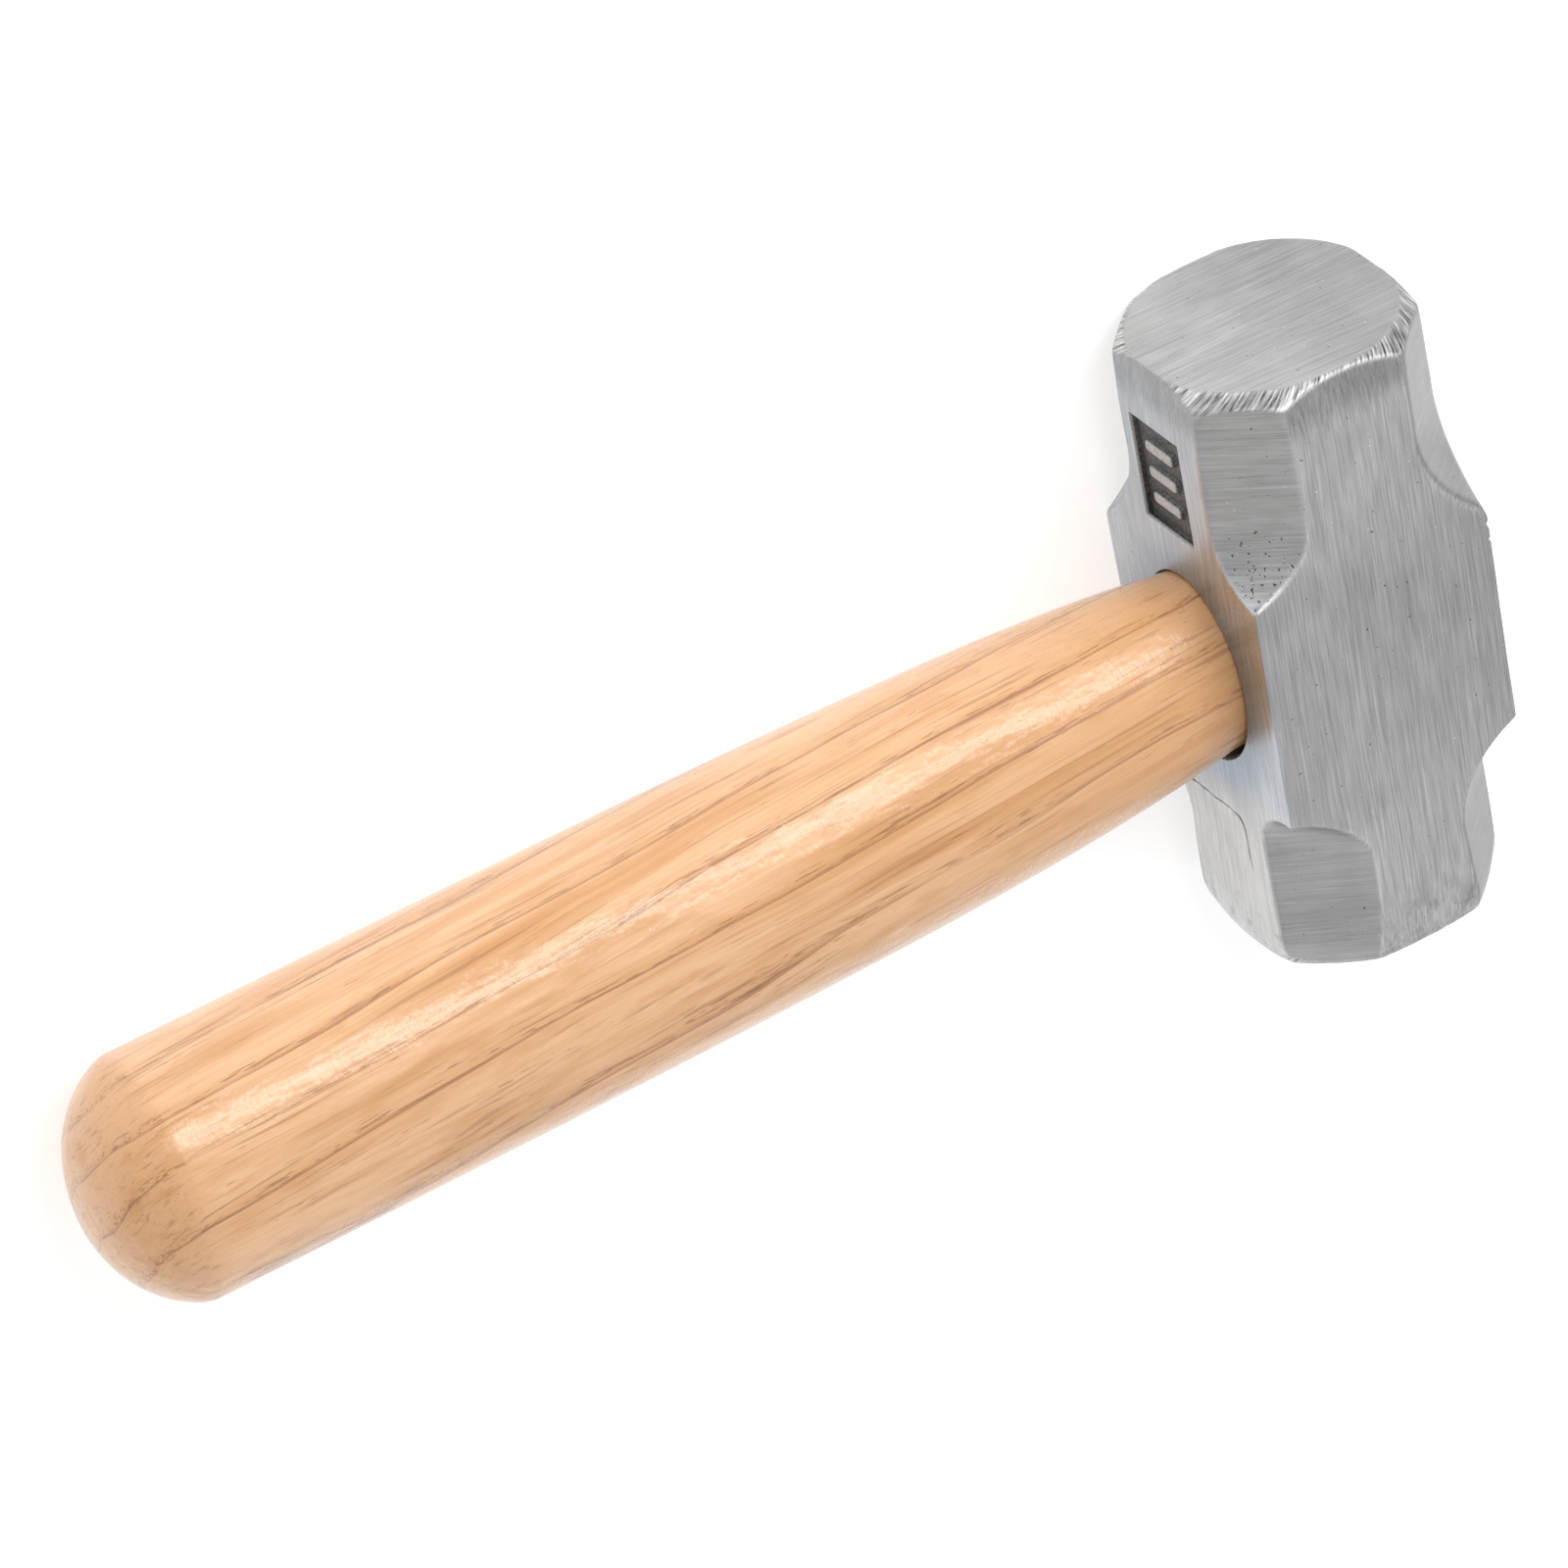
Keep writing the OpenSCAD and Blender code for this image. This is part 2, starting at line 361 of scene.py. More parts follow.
def surface_weights(p):
    """How far each point belongs to a side, corner chamfer, bevel or striking face, from 0
    to 1, and how close it is to an edge between two of them."""
    fields = {"side": np.max(side_distances(p), axis=0)}
    fields["facet"] = np.max([corner_distance(p, c) for c in CORNERS], axis=0)
    ends = [end_distances(p, end) for end in ENDS]
    fields["bevel"] = np.max([cone for cone, _ in ends], axis=0)
    fields["face"] = np.max([face for _, face in ends], axis=0)
    weights = {}
    for name, field in fields.items():
        others = np.max([f for n, f in fields.items() if n != name], axis=0)
        weights[name] = np.clip((field - others) / BLEND_WIDTH + 0.5, 0, 1)
    ordered = np.sort(list(fields.values()), axis=0)
    weights["edge"] = np.clip(1 - (ordered[-1] - ordered[-2]) / EDGE_WIDTH, 0, 1)
    return weights


# ---------------------------------------------------------------- eye and panel

EYE_L = 24.1
EYE_W = 19.2
EYE_Y = -0.35
EYE_POWER = 1.0
EYE_POINTS = 160
# The eye's worn rim: distance out from the side of the head, and how much it flares there
EYE_RIM = ((1.0, 0.45), (0.0, 0.32), (-0.12, 0.17), (-0.3, 0.06), (-0.55, 0.0))

PANEL_L = 14.0
PANEL_W = 10.0
PANEL_DEPTH = 0.75
PANEL_DRAFT = 0.28
PANEL_Y = 24.6
PANEL_Z = -0.8
PANEL_ROWS = 110
PANEL_COLUMNS = 76
# How far the panel's cutter starts outside the handle side, and how far out it reaches
PANEL_LIFT = 0.03
PANEL_OUT = 1.0

BAR_COUNT = 3
BAR_HALF_W = 0.055 * PANEL_L
BAR_HALF_L = 0.28 * PANEL_W
BAR_HEIGHT = 0.72 * PANEL_DEPTH
BAR_ROUND = 0.5
BAR_SLOPE = 0.45


def oval(half_y, half_z, power, sides):
    """Points of a superellipse round the handle axis."""
    a = np.linspace(0, 2 * math.pi, sides, endpoint=False)
    y = half_y * np.sign(np.cos(a)) * np.abs(np.cos(a)) ** power
    z = half_z * np.sign(np.sin(a)) * np.abs(np.sin(a)) ** power
    return y, z


def loft(name, stations, sides):
    """A closed skin through ovals, from the highest x to the lowest. Each station is x,
    half depth, half width, power, and the shift in y."""
    rings = []
    for x, half_y, half_z, power, shift_y in stations:
        y, z = oval(half_y, half_z, power, sides)
        rings.append(np.stack([np.full(sides, x), y + shift_y, z], 1))
    count = len(rings)
    tips = [rings[0].mean(0), rings[-1].mean(0)]
    faces = ring_faces(count, sides)[:, ::-1].tolist()
    faces += fan_faces(0, sides, count * sides, True).tolist()
    faces += fan_faces((count - 1) * sides, sides, count * sides + 1, False).tolist()
    return new_object(name, np.concatenate(rings + [tips]), faces)


def eye_cutter():
    """The eye, with slightly worn rims."""
    far_end = [(HALF_W + out, flare) for out, flare in EYE_RIM]
    near_end = [(-HALF_W - out, flare) for out, flare in reversed(EYE_RIM)]
    stations = [(x, EYE_L / 2 + flare, EYE_W / 2 + flare, EYE_POWER, EYE_Y)
                for x, flare in far_end + near_end]
    return loft("eye_cutter", stations, EYE_POINTS)


def panel_depth(y, z):
    """Depth of the sunk panel: steep walls, a flat floor and plain raised bars."""
    wall = np.minimum(PANEL_L / 2 - np.abs(y), PANEL_W / 2 - np.abs(z)) / PANEL_DRAFT
    depth = PANEL_DEPTH * np.clip(wall, 0, 1)
    pitch = PANEL_L / (BAR_COUNT + 1)
    for i in range(1, BAR_COUNT + 1):
        centre = i * pitch - PANEL_L / 2
        side = np.abs(y - centre) - BAR_HALF_W + BAR_ROUND
        tip = np.abs(z) - BAR_HALF_L + BAR_ROUND
        reach = np.hypot(np.maximum(side, 0), np.maximum(tip, 0)) - BAR_ROUND
        depth -= BAR_HEIGHT * smooth_step(0.5 - reach / BAR_SLOPE)
    return depth


def grid_rim(rows, columns):
    """Point numbers once round the outside of a grid."""
    rim = [r * columns for r in range(rows)]
    rim += [(rows - 1) * columns + c for c in range(1, columns)]
    rim += [r * columns + columns - 1 for r in range(rows - 2, -1, -1)]
    rim += [c for c in range(columns - 2, 0, -1)]
    return rim


def panel_cutter():
    """A closed block whose inner side is the panel's relief."""
    y = np.linspace(-PANEL_L / 2, PANEL_L / 2, PANEL_ROWS)
    z = np.linspace(-PANEL_W / 2, PANEL_W / 2, PANEL_COLUMNS)
    yy, zz = np.meshgrid(y, z, indexing="ij")
    inner_x = -HALF_W - PANEL_LIFT + panel_depth(yy, zz)
    outer_x = np.full(yy.shape, -HALF_W - PANEL_OUT)
    layers = [np.stack([x, yy + PANEL_Y, zz + PANEL_Z], -1).reshape(-1, 3) for x in (inner_x, outer_x)]
    total = PANEL_ROWS * PANEL_COLUMNS
    faces = []
    for r in range(PANEL_ROWS - 1):
        for c in range(PANEL_COLUMNS - 1):
            a = r * PANEL_COLUMNS + c
            quad = [a, a + PANEL_COLUMNS, a + PANEL_COLUMNS + 1, a + 1]
            faces.append(quad)
            faces.append([total + i for i in reversed(quad)])
    rim = grid_rim(PANEL_ROWS, PANEL_COLUMNS)
    for a, b in zip(rim, rim[1:] + rim[:1]):
        faces.append([b, a, total + a, total + b])
    return new_object("panel_cutter", np.concatenate(layers), faces)


def build_head():
    """The forging, with its eye and panel cut and its surfaces marked for the steel."""
    head = head_surface()
    head.data.materials.append(steel_material())
    for cutter, lining in ((eye_cutter(), bore_material()), (panel_cutter(), panel_material())):
        cutter.data.materials.append(lining)
        cut(head, cutter)
    points = np.empty(len(head.data.vertices) * 3)
    head.data.vertices.foreach_get("co", points)
    points = points.reshape(-1, 3) / MM - (0, 0, AXIS_Z)
    for name, values in surface_weights(points).items():
        set_attribute(head, name, values)
    head.data.set_sharp_from_angle(angle=HEAD_CREASE)
    return head


# ---------------------------------------------------------------- handle

# How square the sections are at the grip and at the neck
SECTION_POWER = 2 / 2.2
NECK_POWER = 2 / 2.03
NECK_DEPTH = 11.45
NECK_WIDTH = 9.45
# How far the handle's middle sits off the axis in y, and how quickly it swells from the neck
HANDLE_SHIFT = 0.15
SWELL_LENGTH = 23.5
HANDLE_POINTS = 192
GRIP_STATIONS = 200
# The butt's outline: its share of the grip falls as (1 - t ** start) ** round
BUTT_LENGTH = 9.6
BUTT_START = 1.45
BUTT_ROUND = 0.43
BUTT_STATIONS = 45
BUTT_SPACING = 1.3
BUTT_TIP_SHARE = 0.0004
# The tenon fills the eye from its outer end to the middle, then runs into the neck
TENON_GAP = 0.05
TENON_EASE = 0.35
TENON_EASE_STEPS = 5
TENON_END_X = 0.0
NECK_START_X = -10.5

# The cuts for the wedges follow the wedges' own boxes. The kerf is sawn a little deeper.
KERF_DEPTH = (kerf_hi.x - kerf_lo.x) / MM + 4
KERF_HALF_T = (kerf_hi.z - kerf_lo.z) / 2 / MM
KERF_HALF_L = kerf_hi.y / MM
KERF_TIP = 0.5
SLOT_DEPTH = (slot_hi.x - slot_lo.x) / MM
SLOT_HALF_W = (slot_hi.z - slot_lo.z) / 2 / MM
SLOT_HALF_T = (slot_hi.y - slot_lo.y) / 2 / MM
SLOT_Y = (slot_hi.y + slot_lo.y) / 2
CUTTER_OVER = 1.0


def swell(full, neck, distance):
    """A size that grows from the neck towards its full value along the handle."""
    return full - (full - neck) * math.exp(-max(distance, 0) / SWELL_LENGTH)


def grip_station(x):
    """Section of the grip at one place along the handle."""
    distance = -HALF_W - x
    return (x, swell(GRIP_DEPTH, NECK_DEPTH, distance), swell(GRIP_WIDTH, NECK_WIDTH, distance),
            swell(SECTION_POWER, NECK_POWER, distance), HANDLE_SHIFT)


def tenon_station(x, inset):
    """Section of the tenon, which follows the eye."""
    gap = TENON_GAP + inset
    return (x, EYE_L / 2 - gap, EYE_W / 2 - gap, EYE_POWER, EYE_Y)


def handle_stations():
    """Sections from the tenon's end to the butt."""
    stations = []
    for a in np.linspace(0, math.pi / 2, TENON_EASE_STEPS):
        x = TOP_X - TENON_EASE * (1 - math.cos(a))
        stations.append(tenon_station(x, TENON_EASE * (1 - math.sin(a))))
    stations.append(tenon_station(TENON_END_X, 0))
    butt_x = -REACH + BUTT_LENGTH
    for x in np.linspace(NECK_START_X, butt_x, GRIP_STATIONS):
        stations.append(grip_station(x))
    _, deep, wide, _, _ = grip_station(butt_x)
    for t in np.linspace(0, 1, BUTT_STATIONS + 1)[1:]:
        past = t ** BUTT_SPACING
        share = max(1 - past ** BUTT_START, BUTT_TIP_SHARE) ** BUTT_ROUND
        stations.append((butt_x - past * BUTT_LENGTH, deep * share, wide * share,
                         SECTION_POWER, HANDLE_SHIFT))
    return stations


def tapered_block(name, depth, top, tip, size_y):
    """A wedge-shaped block driven in from the tenon's end: top and tip are its half
    thickness in z, size_y its half length."""
    slope = (top - tip) / depth
    points = []
    for x, half in ((TOP_X + CUTTER_OVER, top + slope * CUTTER_OVER), (TOP_X - depth, tip)):
        points += [(x, -size_y, -half), (x, size_y, -half), (x, size_y, half), (x, -size_y, half)]
    faces = [(0, 1, 2, 3), (7, 6, 5, 4), (4, 5, 1, 0), (5, 6, 2, 1), (6, 7, 3, 2), (7, 4, 0, 3)]
    return new_object(name, points, faces, smooth=False)


def build_handle():
    """The grip and tenon, with the kerf and the two slots cut."""
    handle = loft("hammer_handle", handle_stations(), HANDLE_POINTS)
    cut(handle, tapered_block("kerf", KERF_DEPTH, KERF_HALF_T, KERF_TIP, KERF_HALF_L))
    for side in (-1, 1):
        slot_cutter = tapered_block("slot", SLOT_DEPTH, SLOT_HALF_W, SLOT_HALF_W, SLOT_HALF_T)
        slot_cutter.location.y = side * SLOT_Y
        cut(handle, slot_cutter)
    handle.data.set_sharp_from_angle(angle=HANDLE_CREASE)
    return handle


# ---------------------------------------------------------------- material helpers

def linear(*srgb):
    """Linear colour from 8-bit sRGB values."""
    shares = [v / 255 for v in srgb]
    return [v / 12.92 if v <= 0.04045 else ((v + 0.055) / 1.055) ** 2.4 for v in shares]


class Graph:
    """One material's nodes, with short ways to add them."""

    def __init__(self, name):
        self.material = bpy.data.materials.new(name)
        self.material.use_nodes = True
        self.tree = self.material.node_tree
        self.tree.nodes.clear()
        self.shader = self.tree.nodes.new("ShaderNodeBsdfPrincipled")
        out = self.tree.nodes.new("ShaderNodeOutputMaterial")
        self.tree.links.new(self.shader.outputs[0], out.inputs[0])
        self.place = self.tree.nodes.new("ShaderNodeTexCoord").outputs["Object"]

    def put(self, socket, value):
        """Links a socket to another, or sets it to a plain value."""
        if isinstance(value, bpy.types.NodeSocket):
            self.tree.links.new(value, socket)
        else:
            socket.default_value = value

    def node(self, kind, inputs, **settings):
        made = self.tree.nodes.new(kind)
        for name, value in settings.items():
            setattr(made, name, value)
        for name, value in inputs.items():
            self.put(made.inputs[name], value)
        return made

    def math(self, operation, *values):
        return self.node("ShaderNodeMath", dict(enumerate(values)), operation=operation).outputs[0]

    def times(self, a, b):
        return self.math("MULTIPLY", a, b)

    def plus(self, a, b):
        return self.math("ADD", a, b)

    def minus(self, a, b):
        return self.math("SUBTRACT", a, b)

    def dot(self, direction):
        """Distance along a direction, in millimetres."""
        scaled = tuple(c / MM for c in direction)
        node = self.node("ShaderNodeVectorMath", {0: self.place, 1: scaled}, operation="DOT_PRODUCT")
        return node.outputs["Value"]

    def point(self, x, y, z):
        return self.node("ShaderNodeCombineXYZ", {0: x, 1: y, 2: z}).outputs[0]

    def axes(self, size_x, size_y, size_z):
        """Millimetre coordinates over the given grain sizes."""
        x = self.dot((1 / size_x, 0, 0))
        y = self.dot((0, 1 / size_y, 0))
        z = self.dot((0, 0, 1 / size_z))
        return self.point(x, y, z)

    def grain(self, direction, length, across):
        """Coordinates for cells that are long in one direction and narrow across it."""
        axis = Vector(direction).normalized()
        side = axis.orthogonal().normalized()
        other = axis.cross(side)
        return self.point(self.dot(axis / length), self.dot(side / across),
                          self.dot(other / across))

    def noise(self, where, detail=2.0, roughness=0.5):
        inputs = {"Vector": where, "Scale": 1.0, "Detail": detail, "Roughness": roughness}
        return self.node("ShaderNodeTexNoise", inputs).outputs["Fac"]

    def ramp(self, value, low, high, out_low=0.0, out_high=1.0):
        """Eases from one output to the other as the value goes from low to high."""
        inputs = {"Value": value, "From Min": low, "From Max": high, "To Min": out_low,
                  "To Max": out_high}
        return self.node("ShaderNodeMapRange", inputs, interpolation_type="SMOOTHSTEP").outputs[0]

    def fade(self, tone, value, low, high, share):
        """A tone, times a share of itself by the time the value has gone from low to high."""
        return self.times(tone, self.ramp(value, low, high, 1.0, share))

    def blend(self, amount, a, b):
        node = self.node("ShaderNodeMix", {}, data_type="FLOAT")
        for index, value in ((0, amount), (2, a), (3, b)):
            self.put(node.inputs[index], value)
        return node.outputs[0]

    def shade(self, tone, mask, share):
        """A tone, times a share of itself where the mask is 1."""
        return self.times(tone, self.blend(mask, 1.0, share))

    def tint(self, amount, a, b):
        """Mixes two colours."""
        node = self.node("ShaderNodeMix", {}, data_type="RGBA")
        for index, value in ((0, amount), (6, a), (7, b)):
            if isinstance(value, (list, tuple)):
                value = (*value[:3], 1.0)
            self.put(node.inputs[index], value)
        return node.outputs[2]

    def attribute(self, name):
        return self.node("ShaderNodeAttribute", {}, attribute_name=name).outputs["Fac"]

    def bump(self, height, depth_mm, strength=1.0):
        inputs = {"Height": height, "Distance": depth_mm * MM, "Strength": strength}
        return self.node("ShaderNodeBump", inputs).outputs[0]

    def finish(self, **sockets):
        """Sets the shader's sockets, spaces written as underscores, and gives the material."""
        for name, value in sockets.items():
            if isinstance(value, (list, tuple)) and len(value) == 3:
                value = (*value, 1.0)
            self.put(self.shader.inputs[name.replace("_", " ")], value)
        return self.material


def gray(g, tone, cool=0.0):
    """A steel colour from one value, neutral or a little cool."""
    red = g.times(tone, g.minus(1.0, g.times(cool, 0.06)))
    blue = g.times(tone, g.plus(0.995, g.times(cool, 0.07)))
    return g.node("ShaderNodeCombineColor", {0: red, 1: tone, 2: blue}).outputs[0]


# ---------------------------------------------------------------- steel

def streaks(g, width, length, direction):
    """Brushing: noise cells that are narrow across it and long along it."""
    return g.noise(g.grain(direction, length, width), detail=3, roughness=0.6)


def bevel_streaks(g):
    """Short grinding marks that lean the same way all round the rim."""
    x = g.dot((1, 0, 0))
    z = g.minus(g.dot((0, 0, 1)), AXIS_Z)
    round_rim = g.times(g.math("ARCTAN2", x, z), HALF_W)
    rise = g.dot((0, 1.4, 0))
    along = g.plus(g.times(round_rim, 0.6), g.times(rise, 0.8))
    across = g.minus(g.times(round_rim, 0.8), g.times(rise, 0.6))
    where = g.point(g.math("DIVIDE", along, 3.0), g.math("DIVIDE", across, 0.26), 0.5)
    return g.noise(where, detail=3, roughness=0.65)


def scratches(g, direction, length, width, amount):
    """Sparse fine lines in one direction: 1 on a scratch."""
    lines = g.noise(g.grain(direction, length, width), detail=1.5)
    return g.ramp(lines, 0.76 - amount, 0.80 - amount)


def seam_mask(g):
    """1 on the dark line of the forging seam."""
    y = g.dot((0, 1, 0))
    z = g.minus(g.dot((0, 0, 1)), AXIS_Z)
    wander = g.times(g.minus(g.noise(g.axes(2, 2, 2)), 0.5), 0.7)
    reach = g.math("SMOOTH_MAX", g.minus(y, SEAM_Y), g.minus(z, SEAM_Z), SEAM_ROUND)
    line = g.ramp(g.math("ABSOLUTE", g.plus(reach, wander)), 0.36, 0.18)
    line = g.times(line, g.ramp(g.dot((1, 0, 0)), -HALF_W + 1.5, -HALF_W + 1.0))
    return g.times(line, g.ramp(y, SEAM_Y - 8, SEAM_Y - 5))


def eye_distance(g, along):
    """1 on the rim of the eye, 2 at twice its size."""
    rim_y = g.math("DIVIDE", g.minus(along, EYE_Y), EYE_L / 2)
    rim_z = g.math("DIVIDE", g.minus(g.dot((0, 0, 1)), AXIS_Z), EYE_W / 2)
    return g.math("SQRT", g.plus(g.times(rim_y, rim_y), g.times(rim_z, rim_z)))


def brushed(g, level, small, small_depth, wide, wide_depth):
    """A tone varied by fine and by wide brushing."""
    fine = g.times(g.minus(small, 0.5), small_depth)
    broad = g.times(g.minus(wide, 0.5), wide_depth)
    return g.times(g.plus(g.plus(fine, broad), 1.0), level)


def brushed_groups(g, right, lower):
    """The brushing of each group of small surfaces: fine marks, wide marks, tone, and depth."""
    facet = g.noise(g.axes(7, 0.17, 7), detail=3, roughness=0.6)
    facet_wide = g.noise(g.axes(12, 0.5, 12), detail=3, roughness=0.6)
    facet_level = g.shade(g.ramp(right, -4, 8, 0.425, 0.32), lower, 0.87)
    face = streaks(g, 0.2, 13, (1, 0, 0.07))
    face_wide = streaks(g, 0.35, 40, (1, 0, -0.05))
    face_level = g.ramp(right, -10, 10, 0.40, 0.327)
    bevel = bevel_streaks(g)
    bevel_level = g.ramp(right, -2, 4, 0.40, 0.335)
    return {
        "facet": (facet, facet_wide, facet_level, 0.42),
        "face": (face, face_wide, face_level, 0.5),
        "bevel": (bevel, bevel, bevel_level, 1.8),
    }


def side_shading(g, tone, along, right):
    """The broad painted light and shade on the four sides."""
    # Painted light towards both ends, and a painted band of shade below the upper bevel
    tone = g.fade(tone, g.math("ABSOLUTE", along), 10, 24, 1.14)
    tone = g.fade(tone, along, 32.5, 36.5, 0.7)
    # Painted shade on the handle side of the upper end
    tone = g.fade(tone, g.dot((-1, 0.35, 0)), 20, 24, 0.80)
    # A little lighter towards the lower end, and a little darker towards the wedged side
    tone = g.fade(tone, g.dot((0, -1, 0.5)), 8, 24, 1.03)
    return g.fade(tone, right, 0, 12, 0.95)


def pit_masks(g, along, speck):
    """Pits, thickest where the front upper chamfer runs out, and a painted highlight on that place's
    tip.
    """
    front = g.minus(g.dot((-0.7, 0, 0.7)), 0.7 * AXIS_Z)
    pitted = g.times(g.attribute("facet"), g.ramp(along, 26, 17))
    pitted = g.times(pitted, g.ramp(front, 11, 14))
    pitted = g.times(pitted, g.ramp(along, 2, 6))
    pit = g.ramp(g.minus(g.blend(pitted, 0.25, 0.365), speck), 0.0, 0.03)
    return pit, g.times(pitted, g.ramp(along, 15, 10))


def stain_mask(g, along):
    """Dull stains on the sides near the lower face."""
    blots = g.ramp(g.noise(g.axes(2, 2, 2), detail=3), 0.5, 0.68)
    return g.times(g.times(blots, g.ramp(along, -30, -36)), g.attribute("side"))


def scratched(g, tone):
    """Bright scratches anywhere, and dull ones on the striking faces."""
    bright = g.plus(scratches(g, (0.3, 1, -0.2), 14, 0.2, 0.0),
                    scratches(g, (1, 0, 0.3), 10, 0.16, 0.02))
    dull = g.times(scratches(g, (1, 0, 0.1), 12, 0.22, 0.045), g.attribute("face"))
    return g.shade(g.plus(tone, g.times(bright, 0.12)), dull, 0.7)


def steel_roughness(g, height, along):
    """Rougher on worn edges, glossier beside the eye."""
    near_eye = g.ramp(g.math("ABSOLUTE", along), 18, 12)
    glossy = g.times(near_eye, g.ramp(g.dot((-1, 0, 0)), HALF_W - 1.2, HALF_W - 0.5))
    rough = g.minus(g.ramp(height, 0.3, 0.7, 0.3, 0.42), g.times(glossy, 0.06))
    return g.plus(rough, g.times(g.attribute("edge"), 0.3))


def steel_material():
    """Ground forged steel: each group of surfaces has its own brushing."""
    g = Graph("ground_steel")
    right = g.dot((1, 0, 0))
    along = g.dot((0, 1, 0))
    lower = g.ramp(along, -12, -20)
    handle_side = g.ramp(g.dot((-1, 0, 0)), HALF_W - 0.8, HALF_W - 0.3)
    low_side = g.times(handle_side, lower)
    # Painted contact shade on the handle side round the eye, with some grime
    eye_shade_and_grime = g.times(handle_side, g.ramp(eye_distance(g, along), 1.65, 0.95))

    # The sides' brushing and shading, then each other group of surfaces over them
    height = streaks(g, 0.17, 8, (0, 1, 0))
    tone = brushed(g, 0.488, height, 1.25, streaks(g, 0.8, 26, (0, 1, 0)), 0.3)
    tone = side_shading(g, tone, along, right)
    # Painted shade round the eye, partly grime
    tone = g.shade(tone, eye_shade_and_grime, 0.70)
    tone = g.shade(tone, low_side, 0.95)
    for name, (small, wide, level, depth) in brushed_groups(g, right, lower).items():
        weight = g.attribute(name)
        tone = g.blend(weight, tone, brushed(g, level, small, depth * 2, wide, depth))
        height = g.blend(weight, height, small)

    # Marks on all of them: clouds, pits, stains, scratches, bright flecks, seam and worn edges, with
    # painted highlights on the pitted tip and along the worn edges
    cloud = g.noise(g.axes(5, 7, 5), detail=3)
    tone = g.times(tone, g.ramp(cloud, 0.3, 0.7, 0.94, 1.05))
    speck = g.noise(g.axes(0.5, 0.6, 0.5), detail=1.5)
    pit, tip = pit_masks(g, along, speck)
    # Painted highlight on the tip where the front upper chamfer runs out
    tone = g.shade(tone, tip, 1.13)
    tone = g.shade(tone, pit, 0.3)
    tone = g.shade(tone, stain_mask(g, along), 0.76)
    tone = scratched(g, tone)
    tone = g.plus(tone, g.times(g.ramp(speck, 0.745, 0.775), 0.2))
    seam_line = seam_mask(g)
    tone = g.shade(tone, seam_line, 0.12)
    # Worn edges, lightened as a painted highlight
    tone = g.plus(tone, g.times(g.attribute("edge"), 0.06))

    height = g.minus(g.minus(height, pit), g.times(seam_line, 4.0))
    # A cool tint painted on the upper handle side and round the eye, to offset the wood's warm
    # reflection in the steel
    cool = g.plus(g.minus(handle_side, low_side), g.times(eye_shade_and_grime, 1.5))
    return g.finish(Base_Color=gray(g, tone, cool), Metallic=0.92,
                    Roughness=steel_roughness(g, height, along), Normal=g.bump(height, 0.035, 0.6))


def bore_material():
    """Rough forged wall of the eye."""
    g = Graph("eye_wall")
    scale = g.noise(g.axes(1.2, 0.8, 0.8), detail=4)
    tone = g.ramp(scale, 0.3, 0.7, 0.10, 0.22)
    return g.finish(Base_Color=gray(g, tone), Metallic=0.9, Roughness=0.6,
                    Normal=g.bump(scale, 0.15, 0.6))


def panel_material():
    """Dark sunk panel with bars whose tops are rubbed bright."""
    g = Graph("panel_steel")
    grain = g.noise(g.axes(0.3, 0.3, 0.3), detail=3)
    floor_x = -HALF_W + 0.55 * PANEL_DEPTH
    bar_x = -HALF_W + 0.25 * PANEL_DEPTH
    lift = g.ramp(g.dot((1, 0, 0)), floor_x, bar_x)
    # Painted shade: one corner of the sunk panel is darker than its middle
    middle = 0.6 * PANEL_Y + 0.8 * (AXIS_Z + PANEL_Z)
    shade = g.ramp(g.dot((0, 0.6, 0.8)), middle - PANEL_L / 2, middle, 0.6, 1.0)
    dark = g.times(g.ramp(grain, 0.3, 0.7, 0.05, 0.14), shade)
    bright = g.ramp(grain, 0.3, 0.7, 0.36, 0.48)
    return g.finish(Base_Color=gray(g, g.blend(lift, dark, bright)), Metallic=0.85, Roughness=0.5,
                    Normal=g.bump(grain, 0.06, 0.7))


def wedge_steel_material():
    """Dull steel wedge, marked by the hammer that drove it."""
    g = Graph("wedge_steel")
    grain = g.noise(g.axes(0.6, 0.6, 0.6), detail=4)
    tone = g.ramp(grain, 0.3, 0.7, 0.2, 0.36)
    return g.finish(Base_Color=gray(g, tone), Metallic=1.0, Roughness=0.5,
                    Normal=g.bump(grain, 0.1, 0.7))


# ---------------------------------------------------------------- wood

RING_SPACING = 6.0
# Where the wood starts to deepen towards the head, and where the butt's end grain shows
NEAR_HEAD_X = (-75, -15)
END_GRAIN_X = (-146, -152)


def grain_axes(g):
    """Distances along the grain, across the rings and within a ring layer."""
    along = g.dot((1, 0, 0))
    across = g.dot((-0.06, 0.66, -0.75))
    within = g.dot((0.02, 0.75, 0.66))
    drift = g.noise(g.axes(60, 9, 9), detail=2)
    across = g.plus(across, g.times(g.minus(drift, 0.5), 3.0))
    return along, across, within


def fibre_noise(g, axes, length, across_size, within_size, detail=2.0, offset=0.0):
    """Noise whose cells follow the grain, with their three sizes in millimetres."""
    along, across, within = axes
    where = g.point(g.plus(g.math("DIVIDE", along, length), offset),
                    g.math("DIVIDE", across, across_size), g.math("DIVIDE", within, within_size))
    return g.noise(where, detail=detail, roughness=0.55)


